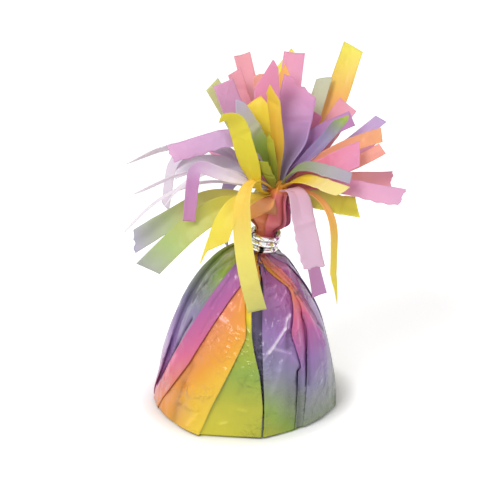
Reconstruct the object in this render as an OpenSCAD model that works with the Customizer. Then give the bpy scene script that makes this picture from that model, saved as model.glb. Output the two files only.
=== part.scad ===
// Balloon weight: a cast slug wrapped in rainbow film, tied at the neck under a fringe cut from the film.
// Z is up, the origin is the middle of the resting face, and the front is towards -Y.

/* [Wrapped weight] */
// Diameter of the wrapped weight across its resting face
base_d = 65; // [62:0.5:72]
// Height at which the sides of the wrapping would close, above the surface
crown_h = 61; // [56:0.5:66]
// How far the free edge of a pleat stands proud of the film beside it
pleat_depth = 1.1; // [0.6:0.1:1.4]
// Thickness of the wrapping, the film and what is tucked under it
film_t = 0.4; // [0.3:0.05:0.6]

/* [Casting, cup and card] */
// Room between the side of the moulded cup and the round of the wrapping, for its pleats and flats
side_room = 7; // [6:0.5:10]
// Room between the crown of the cup and the height at which the wrapping would close
top_room = 12.5; // [11:0.5:20]
// Wall of the cup
cup_t = 1; // [0.6:0.1:1.5]
// Thickness of the card disc that closes the cup
card_t = 1; // [0.6:0.1:1.5]
// Play between the casting, the cup and the film
fit_gap = 0.1; // [0.05:0.05:0.3]

/* [Neck and tie] */
// Sideways lean of the neck at the middle of the tie
neck_lean = 5.3; // [3:0.1:7]
// Rise of the middle of the tie above the height at which the wrapping would close
tie_rise = 0.8; // [0.4:0.1:3]
// Radius of the film gathered inside the tie
neck_r = 3.5; // [3:0.1:4]
// Diameter of the tie's cord
cord_d = 1.7; // [1.2:0.1:1.8]
// Gap between one turn of the cord and the next
cord_gap = 0.45; // [0.45:0.05:0.8]
// Turns of the cord round the neck
cord_turns = 3; // [2:1:4]
// Widest radius of the gathered film above the tie
throat_r = 7.3; // [6:0.1:8]
// Distance from the middle of the tie to the middle of the gather, where the fringe starts
throat_h = 17.7; // [15:0.1:20]
// Radius of the gather that the fringe springs from
hub_r = 4.5; // [4.3:0.1:5]

/* [Fringe] */
// Length of a full strip from the gather
strip_l = 60; // [50:1:66]
// Width of a full strip
strip_w = 7; // [5:0.2:8]
// Thickness of a strip
strip_t = 0.35; // [0.25:0.05:0.5]
// Distance between the gather and the root of a strip
root_gap = 0.2; // [0.1:0.05:0.3]

/* [Hidden] */
// Shape of the dome: powers of the rounded side and of the crown
side_power = 1.8;
crown_power = 1.55;
cup_side_power = 2.4;
cup_crown_power = 2;
// The gathering axis leans above this share of the crown's height
lean_share = 0.36;
lean_power = 1.6;
// Tilt of the neck to the right
neck_tilt = 15;
// The side's angle where the shoulder turns in to the neck, and the step between rings
shoulder_angle = 67.5;
ring_step = 7.5;
inner_ring_step = 15;
cup_ring_step = 5;
// Width in degrees of the step at a pleat's edge
edge_angle = 1.5;
// The fold's share of its depth at the foot, and the height share where it is full
foot_share = 0.4;
full_share = 0.35;
// Height share up to which the rim's flats reach
flat_share = 0.5;
// Pleats: foot azimuth, sweep on the way up, rim radius share, and the panel on top at its edge,
// 1 for the one before it and -1 for the one after it
pleat_shares = [
    [185,  25, 0.97, -1],
    [200,  50, 0.97,  1],
    [240,  20, 0.94,  1],
    [280, -15, 0.89, -1],
    [305, -10, 0.88, -1],
    [320,   0, 0.89, -1],
    [345, -15, 0.92, -1],
    [375, -35, 1.00, -1],
    [400, -35, 1.00, -1],
    [425, -30, 1.00, -1],
    [450, -25, 1.00,  1],
    [475, -25, 1.00,  1],
    [500, -20, 1.00, -1],
    [525,   0, 1.00,  1]
];
// Points across one pleat, as shares of its width
panel_shares = [0, 0.5, 1];

// Gathers: counts of points and rings, and the scallops of the bunched film
throat_sides = 28;
throat_steps = 10;
cap_step = 30;
scallops = 7;
scallop_share = 0.07;
// Height shares of the throat's waist above the tie and of its widest place
waist_share = 0.2;
widest_share = 0.5;

// Sides and rings of the tie's cord
cord_sides = 6;
cord_steps = 24;

// Strips: rings, how soon a root has turned to its rise, and the crease at the root
strip_rings = 9;
lift_share = 0.25;
root_share = 0.3;
spread_share = 0.45;
crease_share = 0.25;
crease_end_share = 0.8;
roll_end_share = 0.4;
// Each strip: name, azimuth, turn, elevation at the root, when risen and at the tip, where along it the
// bend lies, how much of it bends, length and width shares, roll, twist, tint at the root and its run
fringe_shares = [
    ["pink_back_left",         108,   0,  42,  45,  40, 0.50, 1.00, 0.80, 0.85,   0,   0, 0.72,  0.06],
    ["pink_back_left_low",     124,   0,  50,  53,  53, 0.50, 1.00, 0.66, 0.80,   0,   0, 0.70,  0.02],
    ["green_left_up",          150,   0,  50,  54,  54, 0.50, 1.00, 0.64, 0.85, -30,   0, 0.15, -0.05],
    ["lilac_left_up",          158,   0,  56,  61,  66, 0.50, 1.00, 0.62, 1.10, -40,   0, 0.42,  0.14],
    ["yellow_top",              86,   0,  25,  38,  32, 0.50, 1.00, 0.91, 0.90, -15,   0, 0.92,  0.10],
    ["pink_top",                81,   0,  35,  44,  40, 0.50, 1.00, 0.81, 1.05,   0,   0, 0.64,  0.06],
    ["orange_tip_top",          84,   0,  50,  52,  50, 0.50, 1.00, 0.68, 0.70,   0,   0, 0.84,  0.04],
    ["petal_pink_left",        127, -50,  68,  71,  78, 0.50, 1.00, 0.68, 1.20, -10,   0, 0.56,  0.10],
    ["coral_back",             104,   0,  60,  58,  55, 0.50, 1.00, 0.60, 0.90,   0,   0, 0.74,  0.04],
    ["petal_main",              66,   0,  65,  55,  55, 0.50, 1.00, 0.60, 1.80,  10,   0, 0.44,  0.20],
    ["gold_centre",            240,   0,  88,  88,  80, 0.50, 1.00, 0.60, 0.70,   0,   0, 0.95,  0.00],
    ["yellow_mid_left",        138,   0,  76,  76,  20, 0.85, 0.40, 0.48, 0.90, -50,   0, 0.08, -0.10],
    ["yellow_arch_left",       218, -24,  12,  76, -25, 0.88, 0.26, 0.66, 1.05,  60, -25, 0.95,  0.06],
    ["lilac_left",             188,   0,  53,  70, -18, 0.40, 0.60, 0.74, 0.90, -50,   0, 0.40,  0.26],
    ["pink_far_left",          160,   5,  32,  50, -35, 0.45, 1.00, 0.90, 0.60,  40,   0, 0.58,  0.08],
    ["grey_left",              173,   4,  24,  42, -20, 0.50, 1.00, 0.54, 1.00, -30,   0, 0.34,  0.08],
    ["lilac_hang_far",         172,   0,  36,  46, -82, 0.52, 0.70, 0.92, 0.60, -50,   0, 0.46,  0.08],
    ["lilac_thin_high",        194,   0,  32,  46, -50, 0.48, 1.00, 0.72, 0.40,   0,   0, 0.42,  0.04],
    ["lilac_thin_low",         191,   0,  16,  24, -50, 0.50, 1.00, 0.90, 0.45,  10,   0, 0.42,  0.04],
    ["pink_thin_left",         187,   0,  38,  36, -26, 0.40, 1.00, 0.80, 0.45,  40,   0, 0.56,  0.06],
    ["mauve_hang_left",        204,   0,  26,  29, -85, 0.60, 0.15, 0.75, 0.80, -80,   0, 0.38,  0.20],
    ["yellow_green_left",      190, -10,   8,  45, -31, 0.20, 0.80, 0.82, 1.05, -50,   0, 0.00,  0.38],
    ["yellow_green_low",       204,  -6,  -4,   4, -44, 0.40, 0.80, 0.82, 1.15, -50,   0, 0.00,  0.30],
    ["yellow_front_left",      221,   0,   3,   8, -68, 0.45, 0.60, 0.60, 1.00, -30,   0, 0.95,  0.06],
    ["yellow_front",           217, 114,  40,  50, -72, 0.22, 0.40, 0.92, 0.90,   0,  45, 0.92,  0.20],
    ["orange_front_left",      240,   0, -14, -18, -38, 0.45, 1.00, 0.22, 1.30, -25,   0, 0.88,  0.02],
    ["orange_up_right",         60,   0,   0,  26,  50, 0.50, 1.00, 1.04, 1.05,   0,   0, 0.83,  0.17],
    ["grey_olive_up",           67,   0,  20,  30,  40, 0.60, 1.00, 0.76, 0.80,   0,   0, 0.24,  0.04],
    ["pink_right_back",         50,   0,  25,  25,  30, 0.55, 1.00, 0.65, 1.10,  20,   0, 0.70, -0.02],
    ["pink_right_mid",          34,   0,   5,  14,  28, 0.55, 1.00, 0.62, 1.10,  40,   0, 0.66, -0.02],
    ["lilac_right_curl",        22,   0,  25,  25,  35, 0.55, 1.00, 0.65, 0.90,  40,   0, 0.55, -0.06],
    ["orange_right",            11,   0,  38,  37,  14, 0.50, 1.00, 0.60, 0.90,  50,   0, 0.80,  0.06],
    ["coral_right",              6,   0,  18,  16,  30, 0.50, 1.00, 0.56, 0.60,  50,   0, 0.76,  0.00],
    ["pink_right_front",       356,   0,  33,  27,  26, 0.55, 1.00, 0.46, 1.20,  50,   0, 0.76, -0.16],
    ["olive_fold",              22,   0,  49,  42,  48, 0.70, 1.00, 0.51, 0.55,  50,   0, 0.26, -0.20],
    ["lilac_cross",             42, -10,  60,  58,  12, 0.35, 0.80, 0.58, 0.80,  40,   0, 0.44,  0.10],
    ["magenta_inner",           62,   0,  42,  38,  45, 0.65, 1.00, 0.50, 0.80,  20,   0, 0.66, -0.04],
    ["grey_arch_right",        332,   8,  58,  50, -16, 0.40, 0.80, 0.46, 0.90,  10,   0, 0.24,  0.20],
    ["coral_far_right",         14,   0,   3,  14,  -5, 0.30, 1.00, 0.62, 1.20,  30,   0, 0.86, -0.16],
    ["rose_far_right",         350,   0,  24,  32,  -6, 0.20, 0.80, 0.65, 0.90,  40,   0, 0.68, -0.08],
    ["cream_front_right",      313,  12,  42,  36,  -2, 0.40, 0.80, 0.45, 0.90,  10,   0, 0.90,  0.06],
    ["yellow_right",           336,  12,  -4,   0, -12, 0.75, 1.00, 0.42, 1.10,  30,   0, 0.20, -0.18],
    ["orange_hang_right",      324,  -8,  22,  28, -90, 0.28, 0.60, 0.88, 0.50,   0,   0, 0.80,  0.20],
    ["lilac_front_right",      300,   6,  25,  22, -66, 0.25, 0.20, 0.57, 1.25,   0,   0, 0.48,  0.12],
    ["mauve_hang_right",       357,   0,   5,  14, -84, 0.15, 0.50, 0.69, 0.80,   0,  75, 0.60, -0.06],
    ["lilac_hang_back",        150,   0,  10,  24, -85, 0.32, 0.50, 0.63, 0.80, -60,   0, 0.42,  0.04],
    ["olive_inner_left",       232,   0,  46,  56,  68, 0.50, 1.00, 0.22, 0.90,   0,   0, 0.20, -0.08],
    ["grey_edge_left",         201,   0,  66,  67,  62, 0.60, 1.00, 0.54, 1.30, -60,   0, 0.16,  0.24],
    ["pale_yellow_inner",      238,   0,  74,  78,  74, 0.50, 1.00, 0.33, 0.60,   0,   0, 0.05, -0.04]
];
// Rows of strips at the back: name, count, first azimuth and step, then as for a strip from the turn on
back_shares = [
    ["fringe_back_high", 3, 77, 27,  0,   5,  15,   5, 0.50, 1.00, 0.65, 1.00,  0,  0, 0.60,  0.10],
    ["fringe_back_mid",  4, 34, 28,  0,  -8,   5, -20, 0.50, 1.00, 0.65, 1.00,  0,  0, 0.75,  0.15],
    ["fringe_back_low",  2, 76, 28,  0, -22, -12, -60, 0.50, 1.00, 0.55, 0.90,  0,  0, 0.00,  0.15]
];
// One turn of the film's printed rainbow, from yellow round to yellow
rainbow_colours = [
    [0.98, 0.90, 0.25],
    [0.80, 0.85, 0.30],
    [0.62, 0.76, 0.35],
    [0.68, 0.72, 0.68],
    [0.66, 0.62, 0.74],
    [0.70, 0.55, 0.78],
    [0.80, 0.45, 0.72],
    [0.93, 0.50, 0.68],
    [0.95, 0.55, 0.50],
    [0.97, 0.68, 0.30]
];

strip_names = [for (row = fringe_shares) str("strip_", row[0])];
back_names = [for (row = back_shares) row[0]];
body_names = ["casting", "casting_cup", "base_card", "film_base", "film_dome", "film_throat", "neck_tie"];

// Numbers that follow from the sizes above
pleat_count = len(pleat_shares);
cup_d = base_d - 2 * side_room;
cup_h = crown_h - top_room;
tie_z = crown_h + tie_rise;
cord_pitch = cord_d + cord_gap;
neck_at = [neck_lean, 0, tie_z];
neck_axis = [sin(neck_tilt), 0, cos(neck_tilt)];
hub_at = neck_at + throat_h * neck_axis;
tie_half_h = (cord_pitch * cord_turns + cord_d) / 2;
collar_drop = tie_half_h + fit_gap;
cord_r = neck_r + fit_gap + cord_d / 2;
card_top = film_t + card_t;

function mix(a, b, t) = a + (b - a) * t;
// A ramp from 0 to 1 that starts and ends level
function smooth(t) = let (u = min(max(t, 0), 1)) u * u * (3 - 2 * u);
// A point of the rainbow, t in turns
function rainbow(t) =
    let (n = len(rainbow_colours), s = (t - floor(t)) * n, i = floor(s))
    mix(rainbow_colours[i % n], rainbow_colours[(i + 1) % n], s - i);
// The direction with an azimuth and an elevation
function heading(az, el) = [cos(el) * cos(az), cos(el) * sin(az), sin(el)];

// Closed skin through rings of points: the sides of a tube or shell, rings listed from the bottom up
function skin_faces(rings, sides, first) = [
    for (i = [0 : rings - 2], j = [0 : sides - 1])
    let (a = first + i * sides + j, b = first + i * sides + (j + 1) % sides)
    each [[a, a + sides, b + sides], [a, b + sides, b]]
];
// A fan that closes a ring on a middle point, seen from below or from above
function fan_below(sides, first, middle) = [for (j = [0 : sides - 1]) [middle, first + j, first + (j + 1) % sides]];
function fan_above(sides, first, middle) = [for (j = [0 : sides - 1]) [middle, first + (j + 1) % sides, first + j]];

// The dome: a ring at an angle of the rounded side has this height and this mean radius
function side_height(a, h, power) = h * pow(sin(a), 2 / power);
function side_radius(a, r, power) = r * pow(cos(a), 2 / power);
function lean_at(z) =
    let (start = crown_h * lean_share)
    neck_lean * pow(max(z - start, 0) / (tie_z - start), lean_power);
function tilt_at(z) = neck_tilt * smooth((z - crown_h * lean_share) / (crown_h * (1 - lean_share)));

// One point across pleat k: u runs from its own edge to the next, t is the height share,
// sunk is 1 for the inner skin, which lies under every pleat
function pleat_point(k, u, r, t, sunk) =
    let (
        here = pleat_shares[k],
        next = pleat_shares[(k + 1) % pleat_count],
        foot_a = here[0],
        foot_b = next[0] + (k + 1 < pleat_count ? 0 : 360),
        a = foot_a + here[1] * t + edge_angle / 2,
        b = foot_b + next[1] * t - edge_angle / 2,
        half = (foot_b - foot_a) / 2,
        flat = mix(cos(half) / cos(half * (2 * u - 1)), 1, smooth(t / flat_share)),
        rim = mix(mix(here[2], next[2], u), 1, smooth(t / flat_share)),
        from_left = next[3] > 0 ? pow(u, 2) : 0,
        from_right = here[3] < 0 ? pow(1 - u, 2) : 0,
        proud = max(from_left, from_right) * (1 - sunk),
        depth = pleat_depth * mix(foot_share, 1, smooth(t / full_share)) * min(1, 2 * r / base_d + foot_share),
        radius = (r * rim * flat) - depth * (1 - proud) - film_t * sunk
    )
    [mix(a, b, u), radius];
function dome_ring(r, z, sunk) =
    let (t = z / crown_h, tilt = tilt_at(z), x = lean_at(z))
    [
        for (k = [0 : pleat_count - 1], u = panel_shares)
        let (p = pleat_point(k, u, r, t, sunk), f = p[1] * cos(p[0]))
        [x + f * cos(tilt), p[1] * sin(p[0]), z - f * sin(tilt)]
    ];
// The collar, where the pleats gather into the neck below the tie
function collar_ring(r) = [
    for (k = [0 : pleat_count - 1], u = panel_shares)
    let (p = pleat_point(k, u, r, 1, 0))
    neck_at + neck_point(r, p[0], -collar_drop)
];
// A point in the neck's own frame, from a radius, an azimuth and a distance along the axis
function neck_point(r, az, s) =
    let (x = r * cos(az))
    [x * cos(neck_tilt) + s * sin(neck_tilt), r * sin(az), s * cos(neck_tilt) - x * sin(neck_tilt)];

// The throat: radius of the bunched film along the neck, from the collar to the gather
function throat_radius(s) =
    let (
        waist = throat_h * waist_share,
        widest = throat_h * widest_share
    )
    s < widest
        ? mix(neck_r, throat_r, smooth((s - waist) / (widest - waist)))
        : mix(throat_r, hub_r, smooth((s - widest) / (throat_h - widest)));

// A strip's direction at a share s of its length
function strip_heading(row, s) = heading(
    row[1] + row[2] * s,
    row[3] + (row[4] - row[3]) * smooth(s / lift_share) + (row[5] - row[4]) * smooth((s - row[6]) / row[7] + 0.5)
);
// Its centre line: the sum of its steps from the root on the gather
function strip_line(row) =
    let (step = strip_l * row[8] / (strip_rings - 1))
    [
        for (
            i = 0, p = hub_at + (hub_r + root_gap) * strip_heading(row, 0);
            i < strip_rings;
            p = p + step * strip_heading(row, (i + 0.5) / (strip_rings - 1)), i = i + 1
        ) p
    ];
// Its section at one ring: narrow and creased at the root, flat and full further out
function strip_section(row, at, s) =
    let (
        az = row[1] + row[2] * s,
        ahead = strip_heading(row, s),
        across = [-sin(az), cos(az), 0],
        above = cross(ahead, across),
        roll = row[10] * smooth(s / roll_end_share) + row[11] * s,
        side = across * cos(roll) + above * sin(roll),
        face = above * cos(roll) - across * sin(roll),
        w = strip_w * row[9] * mix(root_share, 1, smooth(s / spread_share)),
        lift = w * crease_share * (1 - smooth(s / crease_end_share)),
        half_t = strip_t / 2
    )
    [
        at - side * w / 2 + face * (lift - half_t),
        at - face * half_t,
        at + side * w / 2 + face * (lift - half_t),
        at + side * w / 2 + face * (lift + half_t),
        at + face * half_t,
        at - side * w / 2 + face * (lift + half_t)
    ];
strip_sides = 6;
strip_end_faces = [[0, 1, 4], [0, 4, 5], [1, 2, 3], [1, 3, 4]];

module strip(row) {
    line = strip_line(row);
    last = (strip_rings - 1) * strip_sides;
    sections = [for (i = [0 : strip_rings - 1]) strip_section(row, line[i], i / (strip_rings - 1))];
    far_faces = [for (f = strip_end_faces) [f[2] + last, f[1] + last, f[0] + last]];
    color(rainbow(row[12] + row[13] / 2))
        polyhedron(
            points = [for (section = sections) each section],
            faces = concat(skin_faces(strip_rings, strip_sides, 0), strip_end_faces, far_faces)
        );
}

// One row of strips at the back, evenly turned about the gather
module back_strips(row) {
    shared = [for (i = [4 : len(row) - 1]) row[i]];
    for (i = [0 : row[1] - 1])
        strip(concat([row[0], row[2] + row[3] * i], shared));
}

// The casting fills the cup from the card up
module casting() {
    r = cup_d / 2 - cup_t - fit_gap;
    h = cup_h - cup_t - fit_gap;
    color("gainsboro")
        translate([0, 0, card_top])
            rotate_extrude($fn = 96)
                polygon(concat([[0, 0]], cup_outline(r, h)));
}

// Half the outline of the cup's shape, from its open end up to the middle of its crown
function cup_outline(r, h) = [
    for (a = [0 : cup_ring_step : 90])
    a < 90 ? [side_radius(a, r, cup_side_power), side_height(a, h, cup_crown_power)] : [0, h]
];

// The moulded cup stands mouth down over the casting
module casting_cup() {
    inner = cup_outline(cup_d / 2 - cup_t, cup_h - cup_t);
    outer = cup_outline(cup_d / 2, cup_h);
    color("whitesmoke")
        translate([0, 0, card_top])
            rotate_extrude($fn = 96)
                polygon(concat(outer, [for (i = [len(inner) - 1 : -1 : 0]) inner[i]]));
}

// Card disc across the mouth of the cup
module base_card() {
    color("tan")
        translate([0, 0, film_t])
            cylinder(d = cup_d, h = card_t, $fn = 96);
}

// The film folded flat under the weight, the face that it rests on
module film_base() {
    color(rainbow(0.05))
        linear_extrude(film_t)
            polygon([for (p = dome_ring(base_d / 2, 0, 0)) [p[0], p[1]]]);
}

// The pleated film over the weight: an outer skin with every pleat, and a plainer inner skin
module film_dome() {
    sides = pleat_count * len(panel_shares);
    h = crown_h - film_t;
    outer = concat(
        [
            for (a = [0 : ring_step : shoulder_angle])
            dome_ring(side_radius(a, base_d / 2, side_power), film_t + side_height(a, h, crown_power), 0)
        ],
        [collar_ring(neck_r)]
    );
    inner = concat(
        [
            for (a = [0 : inner_ring_step : shoulder_angle - ring_step])
            dome_ring(side_radius(a, base_d / 2, side_power), film_t + side_height(a, h, crown_power), 1)
        ],
        [collar_ring(neck_r - film_t)]
    );
    across = len(outer) * sides;
    outer_faces = skin_faces(len(outer), sides, 0);
    inner_faces = [for (f = skin_faces(len(inner), sides, across)) [f[2], f[1], f[0]]];
    top_out = (len(outer) - 1) * sides;
    top_in = across + (len(inner) - 1) * sides;
    foot_faces = [
        for (j = [0 : sides - 1])
        let (k = (j + 1) % sides)
        each [[j, k, across + k], [j, across + k, across + j]]
    ];
    collar_faces = [
        for (j = [0 : sides - 1])
        let (k = (j + 1) % sides)
        each [[top_out + j, top_in + j, top_in + k], [top_out + j, top_in + k, top_out + k]]
    ];
    color(rainbow(0.62))
        polyhedron(
            points = [for (ring = concat(outer, inner)) each ring],
            faces = concat(outer_faces, inner_faces, foot_faces, collar_faces)
        );
}

// The film bunched through the tie and flared above it, closed by the round gather
module film_throat() {
    length = throat_h + collar_drop;
    rings = concat(
        [
            for (i = [0 : throat_steps])
            let (
                s = length * i / throat_steps - collar_drop,
                wave = scallop_share * sin(180 * i / throat_steps) * smooth(s / throat_h * 2)
            )
            [
                for (j = [0 : throat_sides - 1])
                let (a = 360 * j / throat_sides)
                neck_at + neck_point(throat_radius(s) * (1 + wave * cos(a * scallops)), a, s)
            ]
        ],
        [
            for (el = [cap_step : cap_step : 90 - cap_step])
            [
                for (j = [0 : throat_sides - 1])
                neck_at + neck_point(hub_r * cos(el), 360 * j / throat_sides, throat_h + hub_r * sin(el))
            ]
        ]
    );
    count = len(rings) * throat_sides;
    points = concat(
        [for (ring = rings) each ring],
        [neck_at - collar_drop * neck_axis, hub_at + hub_r * neck_axis]
    );
    color(rainbow(0.76))
        polyhedron(
            points = points,
            faces = concat(
                skin_faces(len(rings), throat_sides, 0),
                fan_below(throat_sides, 0, count),
                fan_above(throat_sides, count - throat_sides, count + 1)
            )
        );
}

// The tie's cord: a helix on the neck whose ends run straight for one diameter
function tie_line() =
    let (
        n = cord_turns * cord_steps,
        coil = [
            for (i = [0 : n])
            neck_point(cord_r, 90 + 360 * i / cord_steps, cord_pitch * (i / cord_steps - cord_turns / 2))
        ],
        first = coil[0] - coil[1],
        last = coil[n] - coil[n - 1]
    )
    concat([coil[0] + first * cord_d / norm(first)], coil, [coil[n] + last * cord_d / norm(last)]);
function tie_section(line, i) =
    let (
        n = len(line),
        ahead = line[min(i + 1, n - 1)] - line[max(i - 1, 0)],
        along = ahead / norm(ahead),
        out = cross(along, neck_axis),
        side = out / norm(out),
        up = cross(side, along)
    )
    [
        for (j = [0 : cord_sides - 1])
        let (a = 360 * j / cord_sides)
        neck_at + line[i] + cord_d / 2 * (side * cos(a) + up * sin(a))
    ];
// Least gap between two turns of the cord, measured on its points half a turn or more apart
function tie_gap(line) = min([
    for (i = [0 : len(line) - 1], j = [i + cord_steps / 2 : len(line) - 1])
    norm(line[i] - line[j])
]) - cord_d;

module neck_tie() {
    line = tie_line();
    count = len(line) * cord_sides;
    echo(least_gap_of_the_tie = tie_gap(line));
    color("silver")
        polyhedron(
            points = concat(
                [for (i = [0 : len(line) - 1]) each tie_section(line, i)],
                [neck_at + line[0], neck_at + line[len(line) - 1]]
            ),
            faces = concat(
                skin_faces(len(line), cord_sides, 0),
                fan_below(cord_sides, 0, count),
                fan_above(cord_sides, count - cord_sides, count + 1)
            )
        );
}

casting();
casting_cup();
base_card();
film_base();
film_dome();
film_throat();
neck_tie();
for (i = [0 : len(fringe_shares) - 1])
    strip(fringe_shares[i]);
for (i = [0 : len(back_shares) - 1])
    back_strips(back_shares[i]);
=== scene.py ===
"""The looks of a balloon weight: a casting wrapped in rainbow film, tied at the neck under a fringe.

Lengths are in metres and angles in degrees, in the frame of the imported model: Z up, the front towards -Y.
"""

from collections import namedtuple

import bpy
import numpy as np
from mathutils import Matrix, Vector


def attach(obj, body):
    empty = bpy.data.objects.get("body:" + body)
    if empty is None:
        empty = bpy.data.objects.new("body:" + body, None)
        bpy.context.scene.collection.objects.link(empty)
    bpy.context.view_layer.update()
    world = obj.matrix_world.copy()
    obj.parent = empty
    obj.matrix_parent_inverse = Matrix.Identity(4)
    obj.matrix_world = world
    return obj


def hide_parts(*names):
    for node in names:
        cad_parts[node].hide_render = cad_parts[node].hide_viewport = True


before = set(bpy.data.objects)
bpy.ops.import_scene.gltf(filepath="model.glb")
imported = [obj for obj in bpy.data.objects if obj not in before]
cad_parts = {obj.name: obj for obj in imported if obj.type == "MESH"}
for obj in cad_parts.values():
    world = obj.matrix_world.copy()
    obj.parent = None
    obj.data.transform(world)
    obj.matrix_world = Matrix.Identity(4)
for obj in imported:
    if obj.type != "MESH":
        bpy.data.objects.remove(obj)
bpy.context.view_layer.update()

# Camera: where the photograph was taken from
VIEW_TARGET = (0.0007, 0, 0.0577)
VIEW_DISTANCE = 0.9
VIEW_ELEVATION = 25.5
VIEW_LENS = 192
VIEW_SENSOR = 36

# The table's half width, its glow where it is seen in the open, and the room's light on the weight
TABLE_HALF = 1.5
TABLE_GLOW = 0.46
ROOM_LIGHT = 0.48

# The wrapped weight
BASE_R = 0.0325
CROWN_H = 0.061
FILM_T = 0.0004
SIDE_POWER = 1.8
CROWN_POWER = 1.55
PLEAT_DEPTH = 0.0011
PLEAT_LAP = 0.0013
FOOT_DEPTH = 0.33
LIP_R = 0.0003
FOLD_SHADE = 0.0007
SHOULDER_ANGLE = 70
DOME_ROWS = 142
FRONT_DETAIL = 1.2
BACK_DETAIL = 0.5
CLOSE_SHARE = 0.1
LEAN_START = 0.36 * CROWN_H
LEAN_POWER = 1.6

# Relief of the wrapping's film and the thicknesses it is shown with
WRAP_T = 0.0003
THIN_T = 0.0002
BODY_SWAY = 0.0006
FOOT_TUCK = 0.0014
TUCK_H = 0.001
FOOT_INSET = 0.0013
FOOT_LIFT = 0.00022
FOOT_CRINKLE = 0.00006
CRINKLE = 0.00012
SAG = 0.00055
PANEL_FOLD = 0.0005
PANEL_FOLD_W = 0.003
GATHER_FOLD = 0.0005
CREASE_R = 0.026
CREASE_UP = 0.066

# The neck, the throat above it and the gather that the fringe springs from
NECK_LEAN = 0.0053
TIE_Z = 0.0618
NECK_TILT = 15
NECK_R = 0.0035
CORD_R = 0.00085
CORD_PITCH = 0.00215
CORD_TURNS = 3
CORD_PUFF = 1.2
CORD_STEPS = 90
FIT_GAP = 0.0001
COLLAR_ROOM = 0.0002
THROAT_R = 0.0073
THROAT_H = 0.0177
HUB_R = 0.0045
THROAT_PLEAT = 0.0017
THROAT_LAP = 0.0006
THROAT_CRUMPLE = 0.0004
THROAT_BULGE = 0.0016
BULGE_AT = 188
BULGE_WIDE = 38
COLLAR_DROP = (CORD_PITCH * CORD_TURNS + 2 * CORD_R) / 2 + FIT_GAP

# The strips of the fringe
STRIP_L = 0.060
STRIP_W = 0.007
STRIP_T = 0.00016
ROOT_GAP = 0.0002
ROOT_TUCK = 0.0012
ROOT_W_SHARE = 0.3
STRIP_ROWS = 64
STRIP_COLUMNS = 17

# Heights at which the pleats' edges and tints are given, as shares of the dome's height
EDGE_HEIGHTS = (0, 0.2, 0.4, 0.6, 0.75, 0.84, 0.9, 0.96)
TINT_HEIGHTS = (0, 0.2, 0.4, 0.6, 0.75, 0.95)
# Pleats of the dome: azimuths of the edge at its heights, rim radius share, how straight the rim runs to the
# next pleat, side on top (1 before the edge, -1 after it) and how much deeper the panel after it is sunk.
# Then that panel's tint at its heights, in turns of the rainbow, its gain across at the foot and at the neck,
# and its painted light: a painted highlight, low on the side, where it is above zero, and painted shade
# where it is below zero
Pleat = namedtuple("Pleat", "edges rim straight side sunk tints foot_gain neck_gain paler")
PLEAT_ROWS = [
    ((174, 186, 188, 176, 166, 160, 158, 160), 1.02, 1, 1, 0.5,
     (-0.25, -0.44, -0.54, -0.62, -0.76, -0.95), 0, 0, 0),
    ((178, 194, 204, 213, 218, 221, 222, 220), 1.01, 1, -1, 0,
     (-0.20, -0.27, -0.34, -0.42, -0.46, -0.52), 0.06, 0.05, 0),
    ((191, 208, 222, 232, 241, 249, 250, 238), 0.99, 0.2, 1, 0,
     (-0.16, -0.16, -0.17, -0.19, -0.21, -0.23), 0.12, 0.06, 0),
    ((237, 245, 255, 265, 258, 250, 248, 240), 0.96, 1, 1, 0,
     (0.03, 0.05, 0.16, 0.09, -0.12, -0.12), 0.03, 0, 0),
    # the sunk panel after this edge is darkened by painted shade
    ((279.2, 279.4, 277, 269, 265, 271, 270, 257), 0.87, 1, 1, 1.4,
     (0.24, 0.30, 0.36, 0.40, 0.42, 0.42), 0, 0, -0.5),
    ((281, 280.5, 279.5, 278, 277, 277, 273, 261), 0.87, 1, -1, 0,
     (0.06, 0.18, 0.34, 0.44, 0.50, 0.55), 0.13, 0.03, -0.05),
    ((306, 307, 310, 305, 314, 318, 290, 258), 0.86, 1, -1, 0,
     (0.26, 0.28, 0.48, 0.62, 0.74, 0.92), 0.02, 0, 0),
    ((313, 314, 317, 324, 324, 322, 301, 268), 0.86, 1, -1, 0,
     (0.25, 0.33, 0.46, 0.59, 0.73, 0.80), 0, 0, 0),
    ((332, 337, 343, 336, 329, 324, 312, 282), 0.89, 0.8, 1, 0,
     (0.26, 0.32, 0.43, 0.55, 0.68, 0.77), 0, 0, 0),
    ((352, 354, 356, 345, 338, 330, 321, 300), 0.95, 0.8, 1, 0,
     (0.24, 0.32, 0.42, 0.47, 0.52, 0.60), 0, 0, 0),
    ((380, 382, 382, 378, 372, 362, 351, 332), 1.01, 0.5, -1, 0,
     (0.20, 0.28, 0.36, 0.41, 0.45, 0.50), 0, 0, 0),
    ((405, 402, 397, 392, 387, 383, 380, 374), 1, 0.5, -1, 0,
     (0.08, 0.14, 0.20, 0.27, 0.34, 0.42), 0.02, 0.02, 0),
    ((430, 427, 423, 418, 413, 409, 406, 402), 1, 0.5, -1, 0,
     (-0.04, 0.02, 0.09, 0.16, 0.22, 0.30), 0.02, 0.02, 0),
    ((455, 452, 449, 445, 441, 437, 434, 430), 1, 0.5, 1, 0,
     (-0.16, -0.10, -0.04, 0.04, 0.10, 0.18), 0.02, 0.02, 0),
    ((480, 478, 476, 473, 469, 466, 464, 460), 1, 0.5, 1, 0,
     (-0.30, -0.38, -0.48, -0.58, -0.70, -0.85), 0.02, 0.02, 0),
    # the panel after this edge carries a painted highlight low on its side
    ((505, 510, 513, 513, 513, 514, 516, 518), 1, 0.5, 1, -1.2,
     (-0.28, -0.44, -0.52, -0.62, -0.75, -0.94), 0, 0, 0.4),
]
PLEATS = [Pleat(*row) for row in PLEAT_ROWS]
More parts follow.
